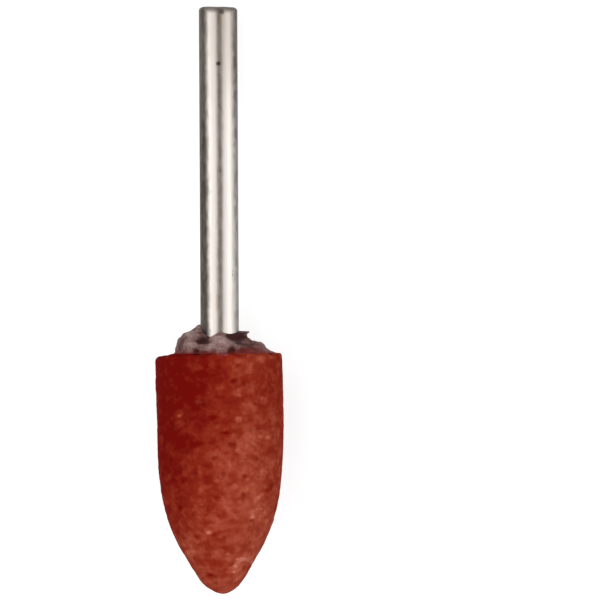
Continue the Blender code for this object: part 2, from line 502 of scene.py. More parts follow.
class GrainGroup:
    """Node group of a coarse, gritty surface, shared by the stone and the cement.

    It gives broad blotches, the tone of the grains, rare pale flecks, dark pores, and the relief. What
    isn't a blotch is sized in grains: a fineness of 2 means features half as large as the grains.
    """

    NAME = "coarse_grain"
    TAKES = {"Place": "NodeSocketVector", "Blotch Size": "NodeSocketFloat", "Grain Size": "NodeSocketFloat"}
    GIVES = ("Blotch", "Tone", "Fleck", "Pore", "Relief")
    BLOTCH_DETAIL = 3.0
    BLOTCH_ROUGHNESS = 0.6
    WARP = 0.9
    SOFTNESS = 0.6
    HAZE_FINENESS = 1.1
    PORE_FINENESS = 0.8
    DUST_FINENESS = 2.5
    # The haze is spread out about its middle, and mixed with the grains' own tones
    HAZE_GAIN = 1.4
    HAZE_SHIFT = -0.45
    HAZE_SHARE = 0.8
    GRAIN_SHARE = 0.45
    # A fleck is one of the few palest grains, near the grain's middle
    FLECK_RARITY = Ramp(0.86, 0.98)
    FLECK_REACH = Ramp(0.6, 0.1)
    PORES = Ramp(0.61, 0.74)
    # Heights of the relief: its level, and what the gaps between grains, the dust and the pores add
    LEVEL = 0.5
    GAP_RISE = -0.7
    DUST_RISE = 0.6
    PORE_RISE = -0.8

    def __init__(self) -> None:
        """Build the group once."""
        self.tree = bpy.data.node_groups.new(self.NAME, "ShaderNodeTree")
        for name, kind in self.TAKES.items():
            self.tree.interface.new_socket(name, in_out="INPUT", socket_type=kind)
        for name in self.GIVES:
            self.tree.interface.new_socket(name, in_out="OUTPUT", socket_type="NodeSocketFloat")
        w = Wiring(self.tree)
        taken = self.tree.nodes.new("NodeGroupInput").outputs
        place = taken["Place"]
        blotch_scale = w.math("DIVIDE", 1.0, taken["Blotch Size"])
        scale = w.math("DIVIDE", 1.0, taken["Grain Size"])
        blotch = w.cloud(place, blotch_scale, self.BLOTCH_DETAIL, self.BLOTCH_ROUGHNESS).outputs["Fac"]
        bend = w.vector("SCALE", w.cloud(place, scale, 1.0).outputs["Color"])
        w.feed(bend, {"Scale": w.math("MULTIPLY", taken["Grain Size"], self.WARP)})
        bent = w.vector("ADD", place, bend.outputs[0]).outputs[0]
        cells = w.add("TexVoronoi", {"Vector": bent, "Scale": scale}).outputs
        tint = w.add("SeparateColor", {0: cells["Color"]}).outputs[1]
        inputs = {"Vector": bent, "Scale": scale, "Smoothness": self.SOFTNESS}
        soft = w.add("TexVoronoi", inputs, feature="SMOOTH_F1").outputs["Color"]
        soft_tint = w.add("SeparateColor", {0: soft}).outputs[0]
        haze = w.cloud(place, w.math("MULTIPLY", scale, self.HAZE_FINENESS), 1.0).outputs["Fac"]
        haze = w.math("MULTIPLY_ADD", haze, self.HAZE_GAIN, self.HAZE_SHIFT)
        haze = w.math("MULTIPLY", haze, self.HAZE_SHARE)
        tone = w.math("MULTIPLY_ADD", soft_tint, self.GRAIN_SHARE, haze)
        near = w.scale(cells["Distance"], self.FLECK_REACH)
        fleck = w.math("MULTIPLY", w.scale(tint, self.FLECK_RARITY), near)
        pore = w.cloud(bent, w.math("MULTIPLY", scale, self.PORE_FINENESS), 2.0).outputs["Fac"]
        pore = w.scale(pore, self.PORES)
        dust = w.cloud(place, w.math("MULTIPLY", scale, self.DUST_FINENESS), 2.0).outputs["Fac"]
        relief = w.math("MULTIPLY_ADD", dust, self.DUST_RISE, self.LEVEL)
        relief = w.math("MULTIPLY_ADD", cells["Distance"], self.GAP_RISE, relief)
        relief = w.math("MULTIPLY_ADD", pore, self.PORE_RISE, relief)
        given = self.tree.nodes.new("NodeGroupOutput")
        w.feed(given, dict(zip(self.GIVES, (blotch, tone, fleck, pore, relief))))

    def use(self, wiring: Wiring, place: Socket, blotch: float, grain: float) -> Any:
        """Place the group in a material.

        Args:
            wiring: The material's wiring.
            place: Coordinates in millimetres.
            blotch: Size of the blotches, in millimetres.
            grain: Size of the grains, in millimetres.

        Returns:
            The group's outputs.
        """
        inputs = {"Place": place, "Blotch Size": blotch, "Grain Size": grain}
        return wiring.add("Group", inputs, node_tree=self.tree).outputs


# Finishes


@dataclass(frozen=True)
class GritFinish:
    """Red-brown vitrified stone, with painted shade on its left, darker and redder, and by its right edge.

    Its tone is a sum of ramps and of what the stone paints on itself. It runs from 0, deep, over a half,
    the middle colour, to 1, light, and past 1 it turns pale. Pores, pits and flecks are laid over that.
    """

    deep: Colour = (0.155, 0.0028, 0.0014)
    middle: Colour = (0.238, 0.0205, 0.0083)
    light: Colour = (0.368, 0.069, 0.036)
    pale: Colour = (0.52, 0.15, 0.105)
    dark: Colour = (0.13, 0.004, 0.002)
    blotch_size: float = 1.2
    grain_size: float = 0.5
    grain_flatness: float = 0.8
    relief: float = 0.02
    gloss: float = 0.03
    # Parts of the tone: painted light and shade, left to right on a slant and by the right edge; by the rim;
    # at random
    slant: float = -0.36
    across: Ramp = Ramp(-4.2, 8.0, -0.02, 0.88)
    right_edge_shade: Ramp = Ramp(2.0, 5.0, 0.0, -0.24)
    rim: Ramp = Ramp(-1.3, -0.2, 0.0, 0.08)
    clouds: Pattern = Pattern(2.6)
    cloud_tone: Ramp = Ramp(0.3, 0.7, -0.05, 0.05)
    blotch_tone: Ramp = Ramp(0.3, 0.7, -0.18, 0.18)
    grain_tone: Ramp = Ramp(0.1, 0.9, -0.16, 0.23)
    pale_gain: float = 2.2
    pore_share: float = 0.5
    # Flecks: few on the left, and many on the right of the tip
    fleck_tone: float = 0.3
    fleck_share: float = 0.3
    flecks: float = 0.45
    tip_flecks: float = 0.6
    tip_height: Ramp = Ramp(-14.0, -16.5)
    tip_side: Ramp = Ramp(-0.5, 1.5)
    left_flecks: Ramp = Ramp(-3.0, 0.5, 0.35, 1.0)
    roughness: Ramp = Ramp(0.0, 1.0, 0.82, 0.95)

    def material(self, axes: PointAxes, grain: GrainGroup) -> bpy.types.Material:
        """Make the material.

        Args:
            axes: The point's axes.
            grain: The shared grain group.

        Returns:
            The material.
        """
        material, w, shader = new_material("red_brown_grit")
        place = w.place(axes)
        x, _, z = w.add("SeparateXYZ", {0: place}).outputs
        stretch = (self.grain_flatness, self.grain_flatness, 1.0)
        wide = w.add("Mapping", {"Vector": place, "Scale": stretch}).outputs[0]
        found = grain.use(w, wide, self.blotch_size, self.grain_size)
        tip = w.math("MULTIPLY", w.scale(z, self.tip_height), w.scale(x, self.tip_side))
        amount = w.math("MULTIPLY_ADD", tip, self.tip_flecks, self.flecks)
        fleck = w.chain("MULTIPLY", found["Fleck"], amount, w.scale(x, self.left_flecks))
        tone = w.chain(
            "ADD",
            # Painted shade on the left and by the right edge, and painted light towards the lower right
            w.scale(w.math("MULTIPLY_ADD", z, self.slant, x), self.across),
            w.scale(x, self.right_edge_shade),
            w.scale(z, self.rim),
            w.attribute("cloud"),
            w.scale(w.noise(place, self.clouds), self.cloud_tone),
            w.scale(found["Blotch"], self.blotch_tone),
            w.scale(found["Tone"], self.grain_tone),
            w.math("MULTIPLY", fleck, self.fleck_tone),
        )
        colour = w.shade(tone, self.deep, self.middle, self.light)
        over = w.math("MULTIPLY_ADD", tone, self.pale_gain, -self.pale_gain, clamp=True)
        colour = w.blend(over, colour, self.pale)
        for hole in (found["Pore"], w.attribute("pit")):
            colour = w.blend(w.math("MULTIPLY", hole, self.pore_share), colour, self.dark)
        colour = w.blend(w.math("MULTIPLY", fleck, self.fleck_share, clamp=True), colour, self.pale)
        rough = w.scale(found["Tone"], self.roughness)
        normal = w.bump(found["Relief"], self.relief)
        w.feed(shader, {"Base Color": colour, "Roughness": rough, "Normal": normal})
        shader.inputs["Specular IOR Level"].default_value = self.gloss
        return material


@dataclass(frozen=True)
class CementFinish:
    """Grey-brown set cement, red where stone dust lies, with painted light on its lumps and shade in its
    pits.

    Its tone runs from 0, dark, over a half, the middle colour, to 1, pale.
    """

    pale: Colour = (0.38, 0.255, 0.24)
    middle: Colour = (0.20, 0.108, 0.10)
    dark: Colour = (0.030, 0.006, 0.005)
    rosy: Colour = (0.26, 0.075, 0.068)
    red: Colour = (0.14, 0.010, 0.009)
    blotch_size: float = 0.9
    grain_size: float = 0.22
    relief: float = 0.018
    gloss: float = 0.2
    # Parts of the tone
    # Gain of the painted light on the lumps and painted shade in the pits and marks
    light_and_shade_tone: float = 0.6
    blotch_tone: Ramp = Ramp(0.3, 0.7, 0.34, 0.7)
    grain_tone: Ramp = Ramp(0.1, 0.9, -0.15, 0.15)
    # Where it is rosy and red: by height above the stone, by tone, and in the stains by grain
    rosy_height: Ramp = Ramp(0.42, -0.05, 0.0, 0.85)
    rosy_tone: Ramp = Ramp(0.0, 0.4, 0.2, 1.0)
    red_height: Ramp = Ramp(0.2, -0.05)
    red_tone: Ramp = Ramp(0.85, 0.45, 0.2, 0.85)
    stain_grain: Ramp = Ramp(0.2, 0.6, 0.65, 1.0)
    roughness: Ramp = Ramp(0.0, 1.0, 0.7, 0.92)

    def material(self, axes: PointAxes, grain: GrainGroup) -> bpy.types.Material:
        """Make the material.

        Args:
            axes: The point's axes.
            grain: The shared grain group.

        Returns:
            The material.
        """
        material, w, shader = new_material("set_cement")
        place = w.place(axes)
        z = w.add("SeparateXYZ", {0: place}).outputs[2]
        found = grain.use(w, place, self.blotch_size, self.grain_size)
        blotch = w.scale(found["Blotch"], self.blotch_tone)
        tone = w.math("MULTIPLY_ADD", w.attribute("shade"), self.light_and_shade_tone, blotch)
        tone = w.math("ADD", tone, w.scale(found["Tone"], self.grain_tone))
        colour = w.shade(tone, self.dark, self.middle, self.pale)
        dust = (
            (w.scale(z, self.rosy_height), w.scale(tone, self.rosy_tone), self.rosy),
            (w.scale(z, self.red_height), w.scale(tone, self.red_tone), self.red),
            (w.attribute("red"), w.scale(found["Tone"], self.stain_grain), self.red),
        )
        for where, share, tint in dust:
            colour = w.blend(w.math("MULTIPLY", where, share), colour, tint)
        rough = w.scale(found["Tone"], self.roughness)
        normal = w.bump(found["Relief"], self.relief)
        w.feed(shader, {"Base Color": colour, "Roughness": rough, "Normal": normal})
        shader.inputs["Specular IOR Level"].default_value = self.gloss
        return material


class Band(NamedTuple):
    """A lengthwise band of painted reflection on the shank: angles of its middle, half its width and its
    soft edge.
    """

    middle: float
    half: float
    edge: float

    def mask(self, w: Wiring, turn: Socket) -> Socket:
        """Mask of the band: 1 along its middle, falling to 0 across its soft edge."""
        away = w.math("ABSOLUTE", w.math("SUBTRACT", turn, self.middle))
        return w.scale(away, Ramp(self.half + self.edge / 2, self.half - self.edge / 2))


class Speck(NamedTuple):
    """A dark speck on the shank's front: its place from the end's middle, radius and darkness."""

    across: float
    along: float
    radius: float
    share: float
    # Where its soft edge begins and ends, in radii
    INNER = 0.4
    OUTER = 1.45

    def mask(self, w: Wiring, place: Socket, radius: float, end: float) -> Socket:
        """Mask of the speck on a shank of the given radius and end height: 0 past its soft edge."""
        away = w.vector("DISTANCE", place, (self.across, -radius, end + self.along)).outputs["Value"]
        round_mask = w.scale(away, Ramp(self.OUTER * self.radius, self.INNER * self.radius))
        return w.math("MULTIPLY", round_mask, self.share)


@dataclass(frozen=True)
class SteelFinish:
    """Bright drawn steel: fine lengthwise marks, specks, a dull cut end, and painted dark reflections down
    sides and front.
    """

    radius: float
    end_height: float
    bright: Colour = (0.55, 0.512, 0.48)
    dull: Colour = (0.36, 0.32, 0.288)
    # Colour of the painted reflection along the front
    front_reflection_tint: Colour = (0.365, 0.298, 0.25)
    # Darkest colour: of the painted side reflections, and of the specks, spots and cut end
    painted_reflection_and_speck: Colour = (0.030, 0.020, 0.014)
    relief: float = 0.002
    # Noises: the fine marks, and what makes the bands mottled, beaded and spotted
    lines: Pattern = Pattern(0.12, 0.04, 3.0, 0.65)
    blots: Pattern = Pattern(0.35, 0.35, 2.0, 0.6)
    beads: Pattern = Pattern(0.5, 0.55)
    spots: Pattern = Pattern(0.24, 0.35)
    # How far the painted dark reflections stray at random, and along the shank
    drift: Ramp = Ramp(0.3, 0.7, -0.03, 0.03)
    twist: Ramp = Ramp(0.0, 26.0, -0.07, 0.0)
    # The painted dark reflection on each side, how it is mottled, and how it fades along the shank
    left: Band = Band(-1.12, 0.475, 0.4)
    left_mottle: Ramp = Ramp(0.3, 0.7, 0.85, 0.97)
    left_fade: Ramp = Ramp(14.0, 24.0, 1.0, 0.93)
    right: Band = Band(1.27, 0.38, 0.42)
    right_mottle: Ramp = Ramp(0.35, 0.65, 0.91, 1.09)
    right_fade: Ramp = Ramp(6.0, 26.0, 0.62, 0.84)
    # The painted reflection along the front, a dull warm line, which leans to the right higher up
    middle: Band = Band(0.0, 0.165, 0.22)
    middle_lean: Ramp = Ramp(0.0, 26.0, -0.01, 0.115)
    middle_mottle: Ramp = Ramp(0.35, 0.65, 0.45, 0.95)
    specks: tuple[Speck, ...] = (Speck(0.03, -4.49, 0.19, 0.93), Speck(0.3, -0.4, 0.28, 0.8))
    spot_share: Ramp = Ramp(0.74, 0.84, 0.0, 0.6)
    end_band: Ramp = Ramp(-0.65, -0.25, 0.0, 0.7)
    # Duller towards the free end and on the right
    dull_height: Ramp = Ramp(15.0, 27.0)
    dull_side: Ramp = Ramp(-0.6, 0.6, 0.42, 1.0)
    line_share: Ramp = Ramp(0.3, 0.7, 0.0, 0.2)
    roughness: Ramp = Ramp(0.3, 0.7, 0.3, 0.36)
    dark_roughness: float = 0.15

    def material(self, axes: PointAxes) -> bpy.types.Material:
        """Make the material.

        Args:
            axes: The point's axes.

        Returns:
            The material.
        """
        material, w, shader = new_material("drawn_steel")
        place = w.place(axes)
        x, y, z = w.add("SeparateXYZ", {0: place}).outputs
        turn = w.math("ARCTAN2", x, w.math("MULTIPLY", y, -1.0))
        lines, blots, beads, spots = (
            w.noise(place, pattern) for pattern in (self.lines, self.blots, self.beads, self.spots)
        )
        strays = (w.scale(blots, self.drift), w.scale(beads, self.drift), w.scale(z, self.twist))
        drifted = w.math("ADD", turn, w.chain("ADD", *strays))
        left = (self.left.mask(w, drifted), w.scale(blots, self.left_mottle), w.scale(z, self.left_fade))
        right = (self.right.mask(w, drifted), w.scale(z, self.right_fade), w.scale(beads, self.right_mottle))
        # Darkest places: the painted reflections down both sides, with the specks, spots and the dull cut
        # end
        dark = w.chain(
            "MAXIMUM",
            w.chain("MULTIPLY", *left),
            w.chain("MULTIPLY", *right),
            *(speck.mask(w, place, self.radius, self.end_height) for speck in self.specks),
            w.scale(spots, self.spot_share),
            w.scale(w.math("SUBTRACT", z, self.end_height), self.end_band),
        )
        # Painted reflection along the front, leaning to the right higher up
        middle = self.middle.mask(w, w.math("SUBTRACT", turn, w.scale(z, self.middle_lean)))
        middle = w.math("MULTIPLY", middle, w.scale(beads, self.middle_mottle))
        # Blend to the dull colour towards the free end and on the right
        worn = w.math("MULTIPLY", w.scale(z, self.dull_height), w.scale(turn, self.dull_side))
        colour = w.blend(worn, self.bright, self.dull)
        colour = w.blend(middle, colour, self.front_reflection_tint)
        colour = w.blend(w.scale(lines, self.line_share), colour, self.dull)
        colour = w.blend(dark, colour, self.painted_reflection_and_speck)
        rough = w.math("MULTIPLY_ADD", dark, self.dark_roughness, w.scale(lines, self.roughness))
        normal = w.bump(lines, self.relief)
        w.feed(shader, {"Base Color": colour, "Roughness": rough, "Normal": normal})
        shader.inputs["Metallic"].default_value = 1.0
        return material


# Pieces of the mounted point


@dataclass(frozen=True)
class Spot:
    """A place on a piece's front, with its half-width and half-height as seen from there."""

    x: float
    z: float
    wide: float
    high: float

    def span(self, places: Array) -> Array:
        """Squared distance from the spot's middle, across and along, in half-widths and half-heights."""
        return ((places[..., 0] - self.x) / self.wide) ** 2 + ((places[..., 2] - self.z) / self.high) ** 2


@dataclass(frozen=True)
class Patch(Spot):
    """A lighter or darker place on the stone."""

    shade: float


@dataclass(frozen=True)
class Mark(Spot):
    """A lump, a pit or a flat place on the cement, with painted light or shade and a share of red."""

    rise: float
    shade: float
    red: float = 0.0


@dataclass
class GrindingHead:
    """The abrasive stone, in millimetres."""

    diameter: float = 9.92
    length: float = 18.75
    widest_below_top: float = 2.88
    barrel_end_angle: float = math.radians(3.4)
    shoulder_radius: float = 12.8
    flank_angle: float = math.radians(29.9)
    nose_radius: float = 3.5
    tip_start_angle: float = math.radians(60)
    tip_radius: float = 1.33
    rim_round: float = 0.2
    worn_rim_round: float = 0.35
    worn_rim_side: float = math.pi
    bore_radius: float = 1.9
    bore_depth: float = 11.0
    # Wear and chips of the rim: how deep they go, and the radii and heights over which they grow
    worn_drop: float = 0.27
    chip_depth: float = 0.2
    chip_size: float = 0.8
    chip_shift: float = 3.0
    chip_pace: float = 0.2
    chip_levels: tuple[float, float] = (-0.2, 0.7)
    rim_radii: tuple[float, float] = (3.2, 4.8)
    rim_heights: tuple[float, float] = (-0.9, -0.1)
    # Unevenness of the surface, which is calmer at the tip and leaves out the bore and its edge
    grit: Relief = Relief(0.45, 0.04)
    waves: tuple[Relief, ...] = (Relief(1.7, 0.03), Relief(0.6, 0.02))
    pits: Relief = Relief(0.55, 0.06)
    pit_shift: float = 7.0
    pit_levels: tuple[float, float] = (0.5, 0.85)
    bore_margin: float = 0.6
    tip_calm: float = 0.3
    tip_reach: float = 0.5
    # How far the stone's middle strays to the right, at heights from the tip to the top
    sway_heights: tuple[float, ...] = (-18.75, -18.4, -17.8, -16.5, -14.0, -3.4, -2.2, 0.0)
    sway: tuple[float, ...] = (0.15, 0.13, 0.06, 0.02, 0.0, 0.0, -0.07, -0.08)
    sway_radii: tuple[float, float] = (2.3, 3.4)
    # Broad lighter and darker tones in front, placed over the random mottling
    patches: tuple[Patch, ...] = (
        Patch(2.4, -1.1, 1.4, 1.2, 0.20),
        Patch(0.5, -1.2, 1.2, 0.7, 0.14),
        Patch(-2.4, -2.9, 1.5, 1.0, -0.16),
        Patch(-1.0, -6.0, 1.2, 0.8, 0.12),
        Patch(2.0, -6.7, 1.5, 0.7, 0.12),
        Patch(0.0, -8.2, 1.6, 1.2, 0.10),
        Patch(-3.1, -8.6, 0.8, 1.5, -0.14),
        Patch(2.2, -9.4, 1.2, 0.6, 0.10),
        Patch(-2.1, -11.0, 0.9, 0.8, 0.10),
        Patch(3.5, -13.2, 1.0, 2.0, 0.12),
        Patch(-3.2, -15.5, 1.4, 2.5, 0.20),
        Patch(0.0, -15.5, 1.2, 3.0, -0.10),
    )
    # Pale grains that show in front: across, height, size and how pale
    grains: tuple[tuple[float, float, float, float], ...] = (
        (1.7, -15.95, 0.18, 1.1),
        (1.3, -15.95, 0.13, 0.7),
        (1.15, -16.5, 0.14, 1.1),
        (1.05, -16.95, 0.13, 1.0),
        (0.55, -15.55, 0.17, 0.6),
        (-0.9, -13.85, 0.22, 1.0),
        (2.55, -12.7, 0.20, 0.7),
        (3.0, -11.2, 0.22, 0.4),
        (-1.5, -9.2, 0.18, 0.4),
        (2.8, -7.75, 0.22, 0.4),
        (3.15, -6.45, 0.19, 0.6),
        (3.7, -6.55, 0.17, 0.5),
        (-3.15, -4.8, 0.20, 0.9),
        (3.4, -3.5, 0.22, 0.5),
        (-2.3, -15.4, 0.30, 0.4),
    )
    # Dark pores that show in front: across, height and half-width
    pores: tuple[tuple[float, float, float], ...] = (
        (1.0, -2.15, 0.2),
        (2.75, -3.85, 0.2),
        (-0.45, -4.9, 0.2),
        (-1.3, -4.9, 0.2),
        (0.45, -6.1, 0.4),
        (-1.9, -7.0, 0.25),
        (-3.2, -7.2, 0.2),
        (1.9, -9.5, 0.2),
        (3.6, -10.6, 0.25),
        (-0.2, -11.1, 0.3),
        (-3.05, -11.9, 0.2),
        (-0.4, -13.95, 0.2),
        (-1.8, -14.2, 0.25),
        (-0.85, -17.2, 0.3),
    )
    grain_flatness: float = 0.7
    pore_half_height: float = 0.17
    pore_shade: float = -0.62
    sides: int = 300
    STEPS = {
        "tip": 16,
        "nose": 22,
        "flank": 34,
        "shoulder": 76,
        "barrel": 96,
        "rim": 14,
        "top": 26,
        "bore": 6,
    }

    def worn(self, turn: Array) -> Array:
        """How worn the rim is: the cube of the cosine of the angle from its most worn place, from 0."""
        return np.maximum(0.0, np.cos(turn - self.worn_rim_side)) ** 3

    def outline(self, turn: Array) -> Array:
        """Outline from the tip to the bore's floor: tip arc, nose arc, straight flank, shoulder arc,
        barrel arc, rim arc, flat top and bore, each tangent to the last on the outside.

        Args:
            turn: Angles round the axis.

        Returns:
            Radius and height, with rings on the first axis and the turn on the second.
        """
        half_slope = math.tan(self.barrel_end_angle / 2)
        flank_slope = math.tan(self.flank_angle)
        arcs = (
            (self.shoulder_radius, self.barrel_end_angle, self.flank_angle),
            (self.nose_radius, self.flank_angle, self.tip_start_angle),
            (self.tip_radius, self.tip_start_angle, math.pi / 2),
        )
        arcs_length = sum(r * (math.sin(b) - math.sin(a)) for r, a, b in arcs)
        arcs_width = sum(r * (math.cos(a) - math.cos(b)) for r, a, b in arcs)
        widest = self.diameter / 2
        width_left = widest + self.widest_below_top * half_slope - arcs_width
        depth = ((self.length - arcs_length) * flank_slope - width_left) / (flank_slope - half_slope)
        barrel_radius = (depth - self.widest_below_top) / math.sin(self.barrel_end_angle)
        barrel = (widest - barrel_radius, -self.widest_below_top)
        inward = barrel_radius - self.shoulder_radius
        shoulder = (
            barrel[0] + inward * math.cos(self.barrel_end_angle),
            self.shoulder_radius * math.sin(self.barrel_end_angle) - depth,
        )
        tip = (0.0, self.tip_radius - self.length)
        shift = self.nose_radius - self.tip_radius
        nose = (-shift * math.cos(self.tip_start_angle), tip[1] + shift * math.sin(self.tip_start_angle))
        rim = self.rim_round + (self.worn_rim_round - self.rim_round) * self.worn(turn)
        rim_turn = np.arcsin((self.widest_below_top - rim) / (barrel_radius - rim))
        rim_out = barrel[0] + (barrel_radius - rim) * np.cos(rim_turn)
        sweeps = {
            "tip": (tip, self.tip_radius, -math.pi / 2, -self.tip_start_angle),
            "nose": (nose, self.nose_radius, -self.tip_start_angle, -self.flank_angle),
            "shoulder": (shoulder, self.shoulder_radius, -self.flank_angle, -self.barrel_end_angle),
            "barrel": (barrel, barrel_radius, -self.barrel_end_angle, rim_turn),
            "rim": ((rim_out, -rim), rim, rim_turn, math.pi / 2),
        }
        flat = np.zeros_like(turn)
        rows = {
            name: arc_points(centre, radius + flat, start, end, self.STEPS[name])
            for name, (centre, radius, start, end) in sweeps.items()
        }
        bore = (self.bore_radius + flat, flat)
        floor = (bore[0], flat - self.bore_depth)
        flank = line_points(rows["nose"][-1].T, rows["shoulder"][0].T, self.STEPS["flank"])
        rows = {name: row[1:] for name, row in rows.items()}
        return np.concatenate(
            [
                rows["tip"],
                rows["nose"],
                flank,
                rows["shoulder"],
                rows["barrel"],
                rows["rim"],
                line_points((rim_out, flat), bore, self.STEPS["top"]),
                line_points(bore, floor, self.STEPS["bore"]),
            ]
        )

    def build(self, axes: PointAxes) -> bpy.types.Object:
        """Build the stone: its outline swung round, worn and chipped at the rim, and swayed sideways.

        Grit and waves then raise it along its normals, and pits lower it. What shows in front only as a
        tone is painted: patches, grains and pores, each a bell curve of the distance from its middle.

        Args:
            axes: The point's axes.

        Returns:
            The piece.
        """
        turn = np.linspace(0.0, math.tau, self.sides, endpoint=False)
        outline = self.outline(turn)
        radius, up = outline[..., 0], outline[..., 1]
        places = swing(outline, turn)
        coarse, fine = RandomField(11), RandomField(12)
        pits = ease(fine.swell(places + self.pit_shift, self.pits.size), *self.pit_levels)
        height = self.grit.rise * (0.5 - fine.grains(places, self.grit.size)) - self.pits.rise * pits
        height += sum(wave.rise * coarse.swell(places, wave.size) for wave in self.waves)
        drawn = places * (1.0, 1.0, self.chip_pace) + self.chip_shift
        chips = ease(fine.swell(drawn, self.chip_size), *self.chip_levels)
        drop = (self.worn_drop * self.worn(turn) + self.chip_depth * chips) * ease(radius, *self.rim_radii)
        places[..., 2] -= drop * ease(up, *self.rim_heights)
        above_floor = np.where(up > -self.bore_depth, ease(radius, *self.sway_radii), 1.0)
        places[..., 0] += np.interp(up, self.sway_heights, self.sway) * above_floor
        deepest = -self.bore_depth - self.bore_margin
        outside = (radius > self.bore_radius + self.bore_margin) | (up <= deepest)
        calm = self.tip_calm + (1.0 - self.tip_calm) * ease(radius, 0.0, self.tip_reach)
        places = places + outward(places) * (height * outside * calm)[..., None]
        piece = closed_mesh("grinding_stone", axes, places, (-self.length, -self.bore_depth))
        paint(piece, "pit", pits * outside)
        spots = [*self.patches]
        spots += [Patch(x, z, size, self.grain_flatness * size, shade) for x, z, size, shade in self.grains]
        spots += [Patch(x, z, size, self.pore_half_height, self.pore_shade) for x, z, size in self.pores]
        cloud = sum(spot.shade * np.exp(-spot.span(places)) for spot in spots)
        paint(piece, "cloud", cloud * in_front(places))
        return piece


